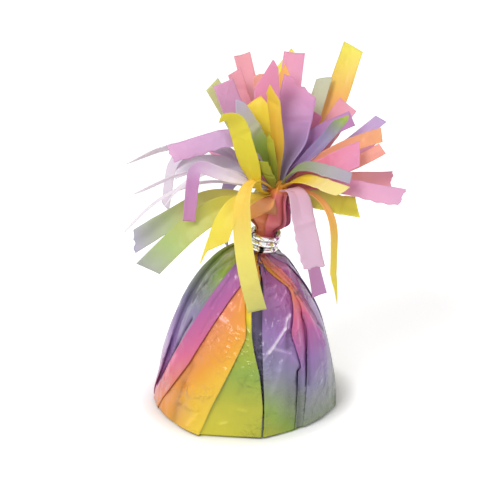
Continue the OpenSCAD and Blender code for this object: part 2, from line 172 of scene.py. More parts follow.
# Creases pressed in the dome's film: azimuth and height share at both ends, how proud (sunk where it is
# below zero), how wide, and the painted light along it: a painted highlight where it is above zero, and
# painted shade where it is below zero
CREASES = [
    (279, 0.48, 284, 0.52, 0.0005, 0.0007, 0.35),
    (284, 0.52, 300, 0.63, 0.0007, 0.0006, 0.85),
    (300, 0.63, 303, 0.68, 0.0006, 0.0006, 0.70),
    (303, 0.68, 308, 0.70, 0.0006, 0.0006, 0.60),
    (304, 0.63, 308, 0.70, 0.0004, 0.0004, 0.50),
    (294, 0.55, 304, 0.63, 0.0004, 0.0005, 0.25),
    (289, 0.53, 302, 0.49, 0.0006, 0.0006, 0.45),
    (303, 0.60, 301, 0.51, -0.0005, 0.0015, -0.40),
    (281, 0.83, 296, 0.85, 0.0003, 0.0005, 0.22),
    (296, 0.85, 291, 0.83, 0.0003, 0.0005, 0.20),
    (292, 0.79, 294, 0.81, 0.0003, 0.0004, 0.32),
    (294, 0.81, 296, 0.78, 0.0003, 0.0004, 0.28),
    (299, 0.77, 310, 0.82, 0.0003, 0.0004, 0.36),
    (310, 0.82, 310, 0.78, 0.0003, 0.0004, 0.28),
    (302, 0.49, 312, 0.37, 0.0006, 0.0008, 0.15),
    (298, 0.48, 292, 0.41, 0.0004, 0.0008, 0.12),
    (292, 0.41, 285, 0.28, 0.0005, 0.0010, 0.15),
    (299, 0.44, 300, 0.18, -0.0004, 0.0014, -0.08),
    (310, 0.36, 309, 0.02, -0.0016, 0.0013, -0.28),
    (325, 0.68, 319, 0.45, -0.0010, 0.0009, -0.35),
    (318, 0.43, 317, 0.27, -0.0008, 0.0008, -0.40),
    (320, 0.82, 338, 0.53, 0.0007, 0.0010, 0.10),
    (338, 0.53, 344, 0.38, 0.0005, 0.0010, 0.06),
    (333, 0.80, 344, 0.60, -0.0008, 0.0010, -0.35),
    (344, 0.57, 356, 0.42, -0.0010, 0.0010, -0.40),
    (356, 0.42, 354, 0.21, -0.0010, 0.0010, -0.40),
    (328, 0.23, 331, 0.26, 0.0004, 0.0004, 0.45),
    (304, 0.55, 310, 0.52, 0.0003, 0.0005, 0.20),
    (314, 0.92, 341, 0.90, 0.0004, 0.0006, 0.25),
    (341, 0.90, 322, 0.86, 0.0004, 0.0006, 0.25),
    (360, 0.71, 359, 0.57, 0.0004, 0.0016, 0.25),
    (241, 0.72, 246, 0.70, 0.0003, 0.0004, 0.28),
    (246, 0.70, 248, 0.72, 0.0003, 0.0004, 0.26),
    (253, 0.76, 254, 0.71, 0.0003, 0.0004, 0.28),
    (241, 0.72, 238, 0.66, 0.0004, 0.0005, 0.20),
    (236, 0.65, 244, 0.64, 0.0004, 0.0006, 0.50),
    (224, 0.39, 218, 0.27, -0.0008, 0.0012, -0.18),
    (218, 0.27, 214, 0.03, -0.0006, 0.0012, -0.15),
    (228, 0.28, 218, 0.16, 0.0005, 0.0010, 0.12),
    (228, 0.05, 234, 0.13, 0.0004, 0.0006, 0.20),
    (262, 0.28, 268, 0.39, -0.0004, 0.0007, -0.12),
    (264, 0.19, 268, 0.18, 0.0003, 0.0005, 0.20),
    (250, 0.09, 254, 0.10, 0.0003, 0.0005, 0.25),
    (192, 0.74, 188, 0.67, -0.0006, 0.0007, -0.45),
    (205, 0.90, 190, 0.80, -0.0005, 0.0009, -0.20),
    (190, 0.80, 190, 0.72, -0.0005, 0.0009, -0.20),
    (211, 0.88, 214, 0.77, 0.0005, 0.0010, 0.15),
    (228, 0.83, 222, 0.68, -0.0004, 0.0006, -0.20),
    (230, 0.76, 224, 0.55, -0.0003, 0.0005, -0.10),
    (204, 0.57, 197, 0.41, -0.0008, 0.0008, -0.90),
    (197, 0.41, 189, 0.24, -0.0009, 0.0009, -0.90),
    (189, 0.24, 182, 0.12, -0.0006, 0.0008, -0.60),
    (207, 0.40, 200, 0.25, 0.0002, 0.0009, 0.25),
    (286, 0.40, 292, 0.08, 0.0003, 0.0028, 0.08),
    (305, 0.30, 297, 0.05, -0.0003, 0.0026, -0.12),
    (221, 0.22, 213, 0.03, -0.0002, 0.0024, -0.15),
    (341, 0.33, 343, 0.05, 0.0003, 0.0020, 0.12),
    (323, 0.80, 331, 0.79, -0.0004, 0.0008, -0.50),
    (316, 0.72, 312, 0.52, 0.0002, 0.0005, 0.28),
    (331, 0.66, 334, 0.50, 0.0002, 0.0005, 0.22),
    (400, 0.50, 415, 0.35, 0.0006, 0.0007, 0.30),
    (440, 0.30, 462, 0.42, 0.0006, 0.0007, 0.30),
    (490, 0.55, 500, 0.40, -0.0007, 0.0011, -0.15),
    (420, 0.72, 432, 0.60, 0.0005, 0.0006, 0.30),
    (470, 0.66, 462, 0.50, -0.0007, 0.0010, -0.20),
    (395, 0.22, 408, 0.10, 0.0004, 0.0006, 0.20),
]

# Pleats of the throat: azimuth, side on top, and the tint of the panel after it at the tie and at the gather
THROAT_PLEATS = [
    (170, 1, 0.84, 0.87),
    (204, 1, 0.79, 0.82),
    (258, -1, 0.73, 0.74),
    (312, -1, 0.68, 0.70),
    (342, -1, 0.62, 0.66),
    (372, -1, 0.50, 0.40),
    (405, -1, 0.30, 0.25),
    (440, 1, 0.15, 0.10),
    (480, 1, 0.05, 0.02),
]

# Strips: name, azimuth, turn, elevation at the root, when risen and at the tip, where along it the bend
# lies, how much of it bends, length and width shares, roll and twist. Then the tint at the root and its run,
# how the tip is cut and leans, how much paler the film is at the root and at the tip, with painted shade
# where it is below zero, as at the roots in the fringe's middle, and how late the tint runs where it
# doesn't run evenly
Strip = namedtuple(
    "Strip",
    "name azimuth turn start rise fall bend span length width roll twist"
    " tint run cut lean root_fade tip_fade late",
    defaults=[1],
)
FRINGE = [
    ("pink_back_left", 108, 0, 42, 45, 40, 0.5, 1, 0.8, 0.85, 0, 0,
     0.73, 0, "slant", -0.15, 0.05, 0.16),
    ("pink_back_left_low", 124, 0, 50, 53, 53, 0.5, 1, 0.66, 0.8, 0, 0,
     0.7, 0.02, "slant", -0.25, 0.05, 0.16),
    ("green_left_up", 150, 0, 50, 54, 54, 0.5, 1, 0.64, 0.85, -30, 0,
     0.15, -0.05, "slant", -0.25, 0.05, 0.2),
    ("lilac_left_up", 158, 0, 56, 61, 66, 0.5, 1, 0.62, 1.1, -40, 0,
     0.44, 0.18, "slant", 0.08, 0.05, 0.2),
    ("yellow_top", 86, 0, 25, 38, 32, 0.5, 1, 0.91, 0.9, -15, 0,
     0.9, 0.08, "point", -0.6, 0.05, 0.04),
    ("pink_top", 81, 0, 35, 44, 40, 0.5, 1, 0.81, 1.05, 0, 0,
     0.66, 0, "slant", 0.05, 0.05, 0.2),
    ("orange_tip_top", 84, 0, 50, 52, 50, 0.5, 1, 0.68, 0.7, 0, 0,
     0.84, 0.04, "point", 0.1, 0.05, 0.06),
    ("petal_pink_left", 127, -50, 68, 71, 78, 0.5, 1, 0.68, 1.2, -10, 0,
     0.6, 0.08, "point", -0.55, -0.05, 0.15),
    ("coral_back", 104, 0, 60, 58, 55, 0.5, 1, 0.6, 0.9, 0, 0,
     0.74, 0.04, "round", 0.1, -0.05, 0.12),
    ("petal_main", 66, 0, 65, 55, 55, 0.5, 1, 0.6, 1.8, 10, 0,
     0.36, 0.27, "notch", 0.5, 0.12, 0.16),
    ("gold_centre", 240, 0, 88, 88, 80, 0.5, 1, 0.6, 0.7, 0, 0,
     0.915, 0, "point", -0.2, -0.3, 0),
    ("yellow_mid_left", 138, 0, 76, 76, 20, 0.85, 0.4, 0.48, 0.9, -50, 0,
     -0.01, -0.04, "slant", 0.2, -0.2, 0),
    ("yellow_arch_left", 218, -24, 12, 76, -25, 0.88, 0.26, 0.66, 1.05, 45, 0,
     0.95, 0.06, "slant", -0.3, -0.2, -0.05),
    ("lilac_left", 188, 0, 64, 78, -14, 0.4, 0.6, 0.74, 0.9, -50, 0,
     0.46, 0.13, "torn", -0.15, 0.3, 0.25),
    ("pink_far_left", 160, 5, 32, 50, -35, 0.45, 1, 0.9, 0.6, 40, 0,
     0.58, 0.08, "blade", 1, 0.3, 0.78),
    ("grey_left", 173, 4, 24, 42, -20, 0.5, 1, 0.54, 1, -30, 0,
     0.34, 0.08, "slant", 0.2, 0.6, 0.72),
    ("lilac_hang_far", 172, 0, 36, 46, -82, 0.52, 0.7, 0.92, 0.6, -50, 0,
     0.46, 0.08, "slant", 0.3, 0.5, 0.7),
    ("lilac_thin_high", 196, 0, 32, 46, -50, 0.48, 1, 0.72, 0.4, 0, 0,
     0.42, 0.04, "blade", 1, 0.8, 0.92),
    ("lilac_thin_low", 191, 0, 16, 24, -50, 0.5, 1, 0.9, 0.45, 10, 0,
     0.42, 0.04, "blade", -1, 0.8, 0.88),
    ("pink_thin_left", 187, 0, 38, 36, -26, 0.4, 1, 0.8, 0.45, 40, 0,
     0.56, 0.06, "blade", 1, 0.6, 0.88),
    ("mauve_hang_left", 204, 0, 26, 29, -85, 0.6, 0.15, 0.79, 0.62, -80, 0,
     0.46, 0.12, "slant", 0.1, 0.8, 0.12),
    ("yellow_green_left", 190, -10, 8, 45, -31, 0.2, 0.8, 0.82, 1.05, -50, 0,
     0, 0.38, "notch", 0.4, 0.05, 0.18, 2.2),
    ("yellow_green_low", 204, -6, -4, 4, -44, 0.4, 0.8, 0.82, 1.15, -50, 0,
     0, 0.3, "slant", -0.35, 0.05, 0.1, 1.8),
    ("yellow_front_left", 221, 0, 3, 8, -68, 0.45, 0.6, 0.6, 1, -30, 0,
     0.94, 0.03, "tail", -1, 0.05, 0.02),
    ("yellow_front", 217, 114, 40, 50, -72, 0.22, 0.4, 0.92, 0.9, 0, 45,
     0.91, 0.18, "slant", 0.12, 0.05, 0.1, 2.2),
    ("orange_front_left", 240, 0, -14, -18, -38, 0.45, 1, 0.22, 1.3, -25, 0,
     0.84, 0.02, "slant", -1.3, 0.1, 0),
    ("orange_up_right", 60, 0, 0, 26, 50, 0.5, 1, 1.04, 1.2, 0, 0,
     0.82, 0.18, "slant", 0.3, 0, 0.04, 3),
    ("grey_olive_up", 67, 0, 20, 30, 40, 0.6, 1, 0.76, 0.8, 0, 0,
     0.16, 0.06, "slant", -0.3, 0.05, 0.3),
    ("pink_right_back", 50, 0, 25, 25, 30, 0.55, 1, 0.65, 1.1, 20, 0,
     0.76, -0.06, "slant", 0.2, -0.08, 0.2),
    ("pink_right_mid", 34, 0, 5, 14, 28, 0.55, 1, 0.62, 1.1, 40, 0,
     0.7, -0.02, "torn", 0.1, 0.05, 0.15),
    ("lilac_right_curl", 22, 0, 25, 25, 35, 0.55, 1, 0.65, 0.6, 40, 0,
     0.52, -0.06, "slant", -0.3, 0.05, 0.16),
    ("orange_right", 11, 0, 38, 37, 14, 0.5, 1, 0.6, 0.7, 50, 0,
     0.79, 0.04, "slant", 0.2, 0.05, 0.06),
    ("coral_right", 6, 0, 18, 16, 30, 0.5, 1, 0.56, 0.6, 50, 0,
     0.78, 0, "slant", -0.1, 0.05, 0.08),
    ("pink_right_front", 356, 0, 33, 27, 26, 0.55, 1, 0.46, 1.2, 50, 0,
     0.76, -0.12, "slant", 0.3, -0.08, 0.15),
    ("olive_fold", 22, 0, 49, 42, 48, 0.7, 1, 0.51, 0.55, 50, 0,
     0.44, -0.36, "point", -0.5, -0.05, -0.1, 4),
    ("lilac_cross", 42, -10, 60, 58, 12, 0.35, 0.8, 0.58, 0.8, 40, 0,
     0.44, 0.1, "slant", 0.2, -0.08, 0.1),
    ("magenta_inner", 58, 0, 42, 38, 45, 0.65, 1, 0.46, 0.8, 20, 0,
     0.66, -0.04, "slant", 0.2, -0.1, 0.06),
    ("grey_arch_right", 332, 8, 60, 53, -12, 0.4, 0.8, 0.46, 0.9, 10, 0,
     0.22, 0.14, "slant", -0.2, -0.05, 0.15, 1.5),
    ("coral_far_right", 14, 0, 3, 14, -5, 0.3, 1, 0.62, 1.2, 30, 0,
     0.86, -0.16, "torn", 0.3, -0.05, 0.12),
    ("rose_far_right", 350, 0, 24, 32, -6, 0.2, 0.8, 0.65, 0.9, 40, 0,
     0.71, -0.1, "torn", 0.2, 0.05, 0.25),
    ("cream_front_right", 313, 12, 42, 36, -2, 0.4, 0.8, 0.45, 0.9, 10, 0,
     0.9, 0.06, "slant", 0.2, -0.08, 0.2),
    ("yellow_right", 336, 12, -4, 0, -12, 0.75, 1, 0.42, 1.1, 30, 0,
     0.1, -0.1, "slant", -0.45, 0.05, 0),
    ("orange_hang_right", 324, -8, 22, 28, -90, 0.28, 0.6, 0.88, 0.5, 0, 0,
     0.8, 0.2, "blade", 1, 0.05, 0.02),
    ("lilac_front_right", 300, 6, 25, 22, -66, 0.25, 0.2, 0.57, 1.25, 0, 0,
     0.59, 0, "torn", 0.1, 0.4, 0.45),
    ("mauve_hang_right", 350, 0, -52, -64, -80, 0.5, 1, 0.6, 0.9, 0, 40,
     0.58, -0.02, "slant", 0.1, 0.05, 0.15),
    ("lilac_hang_back", 150, 0, 10, 24, -85, 0.32, 0.5, 0.63, 0.8, -60, 0,
     0.42, 0.04, "slant", 0.2, 0.05, 0.18),
    ("olive_inner_left", 232, 0, 46, 56, 68, 0.5, 1, 0.22, 0.9, 0, 0,
     0.12, -0.04, "slant", 0.1, -0.5, -0.3),
    ("grey_edge_left", 194, 0, 66, 67, 62, 0.6, 1, 0.54, 1.3, -60, 0,
     0.16, 0.24, "point", -0.6, -0.3, 0.25, 2.5),
    ("pale_yellow_inner", 238, 0, 74, 78, 74, 0.5, 1, 0.33, 0.4, 0, 0,
     0.13, -0.05, "point", 0.1, -0.4, -0.1),
]
# Rows of strips at the back: name, count, first azimuth and step, then as for a strip from the turn on
BACK_ROWS = [
    ("fringe_back_high", 3, 77, 27, 0, 5, 15, 5, 0.5, 1, 0.65, 1, 0, 0,
     0.6, 0.1, "slant", 0.1, 0.05, 0.16),
    ("fringe_back_mid", 4, 34, 28, 0, -8, 5, -20, 0.5, 1, 0.65, 1, 0, 0,
     0.75, 0.15, "slant", 0.25, 0.05, 0.16),
    ("fringe_back_low", 2, 76, 28, 0, -22, -12, -60, 0.5, 1, 0.55, 0.9, 0, 0,
     0, 0.15, "slant", -0.15, 0.05, 0.08),
]

# One turn of the film's printed rainbow, from yellow round to yellow, as the colours look on paper
RAINBOW = [
    (0.97, 0.88, 0.22),
    (0.73, 0.74, 0.22),
    (0.58, 0.69, 0.27),
    (0.56, 0.60, 0.52),
    (0.57, 0.54, 0.68),
    (0.62, 0.46, 0.71),
    (0.73, 0.40, 0.65),
    (0.88, 0.42, 0.59),
    (0.94, 0.54, 0.46),
    (0.96, 0.64, 0.22),
]


def add_camera():
    """The photograph's view: in front of the weight and above the table, looking along +Y."""
    data = bpy.data.cameras.new("camera")
    data.lens = VIEW_LENS
    data.sensor_width = VIEW_SENSOR
    camera = bpy.data.objects.new("camera", data)
    bpy.context.scene.collection.objects.link(camera)
    rise = np.radians(VIEW_ELEVATION)
    back = np.array([0, -np.cos(rise), np.sin(rise)])
    camera.location = Vector(np.array(VIEW_TARGET) + VIEW_DISTANCE * back)
    camera.rotation_euler = (np.radians(90 - VIEW_ELEVATION), 0, 0)
    bpy.context.scene.camera = camera


add_camera()


# Helpers for numbers


def mix(a, b, t):
    return a + (b - a) * t


def smooth(t):
    """A ramp from 0 to 1 that starts and ends level."""
    u = np.clip(t, 0, 1)
    return u * u * (3 - 2 * u)


def sin(a):
    return np.sin(np.radians(a))


def cos(a):
    return np.cos(np.radians(a))


def ripple(a, b, waves, seed):
    """Gentle unevenness over two coordinates: a mean of sines with seeded directions and phases."""
    dice = np.random.default_rng(seed)
    total = 0
    for _ in range(6):
        p, q, phase = dice.normal(0, waves), dice.normal(0, waves), dice.uniform(0, 2 * np.pi)
        total = total + np.sin(p * a + q * b + phase)
    return total / 6


def crumple(a, b, waves, seed):
    """Creased unevenness over two coordinates: a mean of folded sines, whose folds are sharp ridges."""
    dice = np.random.default_rng(seed)
    total = 0
    for _ in range(5):
        p, q, phase = dice.normal(0, waves), dice.normal(0, waves), dice.uniform(0, 2 * np.pi)
        total = total + 0.64 - np.abs(np.sin(p * a + q * b + phase))
    return total / 5


def eased(knots, values, t):
    """Values given at a few knots, run straight between them with the corners rounded off."""
    fine = np.linspace(-0.1, 1.1, 241)
    window = np.hanning(23)[1:-1]
    line = np.interp(fine, knots, values)
    return np.interp(t, fine[10:-10], np.convolve(line, window / window.sum(), "valid"))


def near_line(x, y, ends):
    """The distance of each place from the straight line between two places."""
    ax, ay, bx, by = ends
    length = (bx - ax) ** 2 + (by - ay) ** 2
    along = np.clip(((x - ax) * (bx - ax) + (y - ay) * (by - ay)) / length, 0, 1)
    return np.hypot(x - ax - along * (bx - ax), y - ay - along * (by - ay))


# Helpers for meshes


def grid_faces(rows, columns, first, wrap):
    """The faces of a grid of points, row by row, closed round the columns if wrap is true."""
    i = first + np.arange(rows * columns).reshape(rows, columns)
    if wrap:
        i = np.hstack([i, i[:, :1]])
    return np.stack([i[:-1, :-1], i[:-1, 1:], i[1:, 1:], i[1:, :-1]], -1).reshape(-1, 4)


def mesh_object(name, points, faces):
    """A smooth-shaded object in the scene from its points and faces."""
    mesh = bpy.data.meshes.new(name)
    mesh.from_pydata(points.reshape(-1, 3).tolist(), [], faces.tolist())
    mesh.polygons.foreach_set("use_smooth", np.ones(len(faces), bool))
    mesh.update()
    piece = bpy.data.objects.new(name, mesh)
    bpy.context.scene.collection.objects.link(piece)
    return piece


def film_object(name, grids, wrap=False, thickness=STRIP_T, inward=False):
    """One film piece from grids of (points, tint, tone with painted highlights and shade), with a thickness.
    """
    points = np.concatenate([g[0].reshape(-1, 3) for g in grids])
    first = np.cumsum([0] + [g[0][..., 0].size for g in grids])
    faces = np.concatenate([grid_faces(*g[0].shape[:2], first[i], wrap) for i, g in enumerate(grids)])
    piece = mesh_object(name, points, faces)
    # the second attribute carries the film's pale tones, painted highlights and painted shade
    for k, attribute in ((1, "tint"), (2, "fade")):
        values = np.concatenate([np.broadcast_to(g[k], g[0].shape[:2]).ravel() for g in grids])
        data = piece.data.attributes.new(attribute, "FLOAT", "POINT").data
        data.foreach_set("value", values.astype(np.float32))
    shell = piece.modifiers.new("film", "SOLIDIFY")
    shell.thickness = thickness
    shell.offset = -1 if inward else 0
    shell.use_even_offset = False
    return piece


def place(piece, material, slot, *nodes):
    """Gives a piece its material, stands it for its CAD nodes and lets it ride on the one body."""
    piece.data.materials.append(material)
    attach(piece, "root")
    if nodes:
        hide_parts(*nodes)


# Helpers for materials


def linear(colour):
    """The light that a colour as it looks on paper stands for."""
    c = np.array(colour, float)
    return tuple(np.where(c <= 0.04045, c / 12.92, ((c + 0.055) / 1.055) ** 2.4)) + (1,)


def new_material(name):
    """A material with its Principled shader, and its nodes and links to build on."""
    material = bpy.data.materials.new(name)
    material.use_nodes = True
    tree = material.node_tree
    return material, tree.nodes, tree.links, tree.nodes["Principled BSDF"]


def settle(made, **settings):
    """A node with its properties set, and its inputs by name."""
    for key, value in settings.items():
        if hasattr(made, key):
            setattr(made, key, value)
        else:
            made.inputs[key.replace("_", " ")].default_value = value
    return made


def node(nodes, kind, **settings):
    """A new node with its properties and inputs set."""
    return settle(nodes.new(kind), **settings)


def calculated(nodes, links, operation, *inputs):
    """What a math node makes of its inputs, each of them a socket or a plain number."""
    made = node(nodes, "ShaderNodeMath", operation=operation)
    for i, value in enumerate(inputs):
        if isinstance(value, bpy.types.NodeSocket):
            links.new(value, made.inputs[i])
        else:
            made.inputs[i].default_value = value
    return made.outputs[0]


def new_group(name, inputs, output, kind):
    """A node group with its named inputs and output, and its nodes and links to build on."""
    group = bpy.data.node_groups.new(name, "ShaderNodeTree")
    for socket in inputs:
        group.interface.new_socket(socket, in_out="INPUT", socket_type="NodeSocketFloat")
    group.interface.new_socket(output, in_out="OUTPUT", socket_type=kind)
    nodes = group.nodes
    return group, nodes, group.links, nodes.new("NodeGroupInput"), nodes.new("NodeGroupOutput")


def ridged_noise(nodes, scale, detail):
    """Noise whose folds are sharp ridges."""
    ridges = {"noise_type": "RIDGED_MULTIFRACTAL", "Offset": 1.0, "Gain": 2.0}
    return node(nodes, "ShaderNodeTexNoise", Scale=scale, Detail=detail, **ridges)


def seen_directly(nodes, links):
    """One on the camera's rays and on mirrored ones, and zero on the scattered rays that gather light."""
    path = nodes.new("ShaderNodeLightPath")
    return calculated(nodes, links, "MAXIMUM", path.outputs["Is Camera Ray"], path.outputs["Is Glossy Ray"])


def printed_film_group():
    """The film's print: a rainbow by the turns in Tint, mottled a little. The second input makes it paler
    above zero, for the film's own pale tones and for painted highlights, and darker below zero, for painted
    shade and a slightly deeper tone."""
    inputs = ("Tint", "Fade")
    group, nodes, links, inside, outside = new_group("printed film", inputs, "Color", "NodeSocketColor")
    cloud = node(nodes, "ShaderNodeTexNoise", Scale=70.0, Detail=3.0)
    links.new(nodes.new("ShaderNodeTexCoord").outputs["Object"], cloud.inputs["Vector"])
    drift = calculated(nodes, links, "MULTIPLY_ADD", cloud.outputs["Fac"], 0.05, inside.outputs["Tint"])
    ramp = nodes.new("ShaderNodeValToRGB")
    links.new(calculated(nodes, links, "FRACT", drift), ramp.inputs["Fac"])
    stops = ramp.color_ramp.elements
    stops[0].color = linear(RAINBOW[0])
    stops[1].color = linear(RAINBOW[0])
    for i, colour in enumerate(RAINBOW[1:]):
        stops.new((i + 1) / len(RAINBOW)).color = linear(colour)
    # paler: the strips' own pale tones, and painted highlights
    paleness_and_painted_light = node(nodes, "ShaderNodeMix", data_type="RGBA", B=(0.97, 0.87, 0.97, 1))
    links.new(inside.outputs["Fade"], paleness_and_painted_light.inputs["Factor"])
    links.new(ramp.outputs["Color"], paleness_and_painted_light.inputs["A"])
    # darker towards near black: painted shade, and a slightly deeper tone over the wrapping
    deeper_and_painted_shade = node(nodes, "ShaderNodeMix", data_type="RGBA", blend_type="MULTIPLY", B=(0.08, 0.06, 0.10, 1))
    links.new(calculated(nodes, links, "MULTIPLY", inside.outputs["Fade"], -1), deeper_and_painted_shade.inputs["Factor"])
    links.new(paleness_and_painted_light.outputs["Result"], deeper_and_painted_shade.inputs["A"])
    links.new(deeper_and_painted_shade.outputs["Result"], outside.inputs["Color"])
    return group


def film_creases_group():
    """Creases of thin film: soft broad dents, sharp crinkles in scattered patches and lines drawn upwards
    by the gather, as a height."""
    inputs = ("Broad", "Fine", "Drawn")
    group, nodes, links, inside, outside = new_group("film creases", inputs, "Height", "NodeSocketFloat")
    spot = nodes.new("ShaderNodeTexCoord").outputs["Object"]
    dents = node(nodes, "ShaderNodeTexNoise", Scale=75.0, Detail=1.0)
    crinkles = ridged_noise(nodes, 210.0, 2.0)
    patches = node(nodes, "ShaderNodeTexNoise", Scale=60.0, Detail=1.0)
    for texture in (dents, crinkles, patches):
        links.new(spot, texture.inputs["Vector"])
    where = node(nodes, "ShaderNodeMapRange", interpolation_type="SMOOTHSTEP", From_Min=0.45, From_Max=0.60)
    links.new(patches.outputs["Fac"], where.inputs["Value"])
    upright = node(nodes, "ShaderNodeVectorMath", operation="MULTIPLY")
    upright.inputs[1].default_value = (1, 1, 0.2)
    links.new(spot, upright.inputs[0])
    lines = ridged_noise(nodes, 220.0, 1.0)
    links.new(upright.outputs[0], lines.inputs["Vector"])
    broad = calculated(nodes, links, "MULTIPLY", dents.outputs["Fac"], inside.outputs["Broad"])
    sharp = calculated(nodes, links, "MULTIPLY", crinkles.outputs["Fac"], where.outputs["Result"])
    fine = calculated(nodes, links, "MULTIPLY_ADD", sharp, inside.outputs["Fine"], broad)
    drawn = calculated(nodes, links, "MULTIPLY_ADD", lines.outputs["Fac"], inside.outputs["Drawn"], fine)
    links.new(drawn, outside.inputs["Height"])
    return group


PRINTED_FILM = printed_film_group()
FILM_CREASES = film_creases_group()


def film_material(name, roughness, coat, broad, fine, drawn, glow):
    """Printed film: colour from the piece's tint, gloss broken up by creases."""
    material, nodes, links, shader = new_material(name)
    tint = node(nodes, "ShaderNodeAttribute", attribute_name="tint")
    # the film's pale tones, painted highlights and painted shade, from the piece's attribute
    fade = node(nodes, "ShaderNodeAttribute", attribute_name="fade")
    colour = node(nodes, "ShaderNodeGroup", node_tree=PRINTED_FILM)
    links.new(tint.outputs["Fac"], colour.inputs["Tint"])
    links.new(fade.outputs["Fac"], colour.inputs["Fade"])
    links.new(colour.outputs["Color"], shader.inputs["Base Color"])
    creases = node(nodes, "ShaderNodeGroup", node_tree=FILM_CREASES, Broad=broad, Fine=fine, Drawn=drawn)
    relief = node(nodes, "ShaderNodeBump", Strength=1.0, Distance=0.001)
    links.new(creases.outputs["Height"], relief.inputs["Height"])
    links.new(relief.outputs["Normal"], shader.inputs["Normal"])
    links.new(relief.outputs["Normal"], shader.inputs["Coat Normal"])
    settle(shader, Roughness=roughness, Specular_IOR_Level=0.2, Coat_Weight=coat, Coat_Roughness=0.08)
    settle(shader, Subsurface_Weight=glow, Subsurface_Radius=(0.001, 0.001, 0.001), Subsurface_Scale=1.0)
    return material


WRAP_FILM = film_material("glossy wrapping film", 0.35, 0.42, 1.8, 0.5, 0.12, 0.0)
FRINGE_FILM = film_material("matt fringe film", 0.5, 0.05, 0.4, 0.10, 0.0, 0.6)


def foil_cord_material():
    """Silver foil cord: smooth bright facets, with painted reflections among them, dark and yellowish ones,
    and painted shade along its creases.
    """
    material, nodes, links, shader = new_material("silver foil cord")
    spot = nodes.new("ShaderNodeTexCoord").outputs["Object"]
    facets = node(nodes, "ShaderNodeTexVoronoi", Scale=300.0)
    creases = node(nodes, "ShaderNodeTexVoronoi", feature="DISTANCE_TO_EDGE", Scale=300.0)
    clouds = node(nodes, "ShaderNodeTexNoise", Scale=170.0, Detail=1.0, Distortion=0.8)
    for texture in (facets, creases, clouds):
        links.new(spot, texture.inputs["Vector"])
    # painted reflections: dark and yellowish patches among the bright silver stand for the mirrored
    # surroundings
    shades = nodes.new("ShaderNodeValToRGB")
    stops = shades.color_ramp.elements
    stops[0].color = (0.02, 0.02, 0.02, 1)
    stops[0].position = 0.32
    stops[1].color = (0.95, 0.95, 0.96, 1)
    stops[1].position = 0.37
    stops.new(0.56).color = (0.85, 0.85, 0.87, 1)
    stops.new(0.59).color = (0.50, 0.47, 0.08, 1)
    stops.new(0.63).color = (0.9, 0.9, 0.85, 1)
    links.new(clouds.outputs["Fac"], shades.inputs["Fac"])
    # painted shade in the creases between the facets
    line = node(nodes, "ShaderNodeMapRange", From_Max=0.05, To_Min=0.45)
    links.new(creases.outputs["Distance"], line.inputs["Value"])
    crease_shaded = node(nodes, "ShaderNodeMix", data_type="RGBA", blend_type="MULTIPLY", Factor=1)
    links.new(shades.outputs["Color"], crease_shaded.inputs["A"])
    links.new(line.outputs["Result"], crease_shaded.inputs["B"])
    links.new(crease_shaded.outputs["Result"], shader.inputs["Base Color"])
    relief = node(nodes, "ShaderNodeBump", Strength=0.25, Distance=0.0006)
    links.new(facets.outputs["Distance"], relief.inputs["Height"])
    links.new(relief.outputs["Normal"], shader.inputs["Normal"])
    settle(shader, Metallic=1.0, Roughness=0.15)
    return material


def grainy_material(name, colour, dark, scale, roughness, bump):
    """A matt or satin solid whose colour and surface are broken up by grain."""
    material, nodes, links, shader = new_material(name)
    grain = node(nodes, "ShaderNodeTexNoise", Scale=scale, Detail=8.0, Roughness=0.7)
    links.new(nodes.new("ShaderNodeTexCoord").outputs["Object"], grain.inputs["Vector"])
    ramp = nodes.new("ShaderNodeValToRGB")
    low, high = ramp.color_ramp.elements
    low.color = linear(dark)
    low.position = 0.3
    high.color = linear(colour)
    high.position = 0.6
    links.new(grain.outputs["Fac"], ramp.inputs["Fac"])
    links.new(ramp.outputs["Color"], shader.inputs["Base Color"])
    relief = node(nodes, "ShaderNodeBump", Strength=bump, Distance=0.0003)
    links.new(grain.outputs["Fac"], relief.inputs["Height"])
    links.new(relief.outputs["Normal"], shader.inputs["Normal"])
    settle(shader, Roughness=roughness)
    return material


# The neck's own frame

NECK_AT = np.array([NECK_LEAN, 0, TIE_Z])
NECK_AXIS = np.array([sin(NECK_TILT), 0, cos(NECK_TILT)])
HUB_AT = NECK_AT + THROAT_H * NECK_AXIS


def neck_point(r, az, s):
    """A point from its radius, azimuth and distance along the leaning neck."""
    x = r * cos(az)
    rightwards = x * cos(NECK_TILT) + s * sin(NECK_TILT)
    upwards = s * cos(NECK_TILT) - x * sin(NECK_TILT)
    return NECK_AT + np.stack([rightwards, r * sin(az), upwards], -1)


# The pleated film over the weight


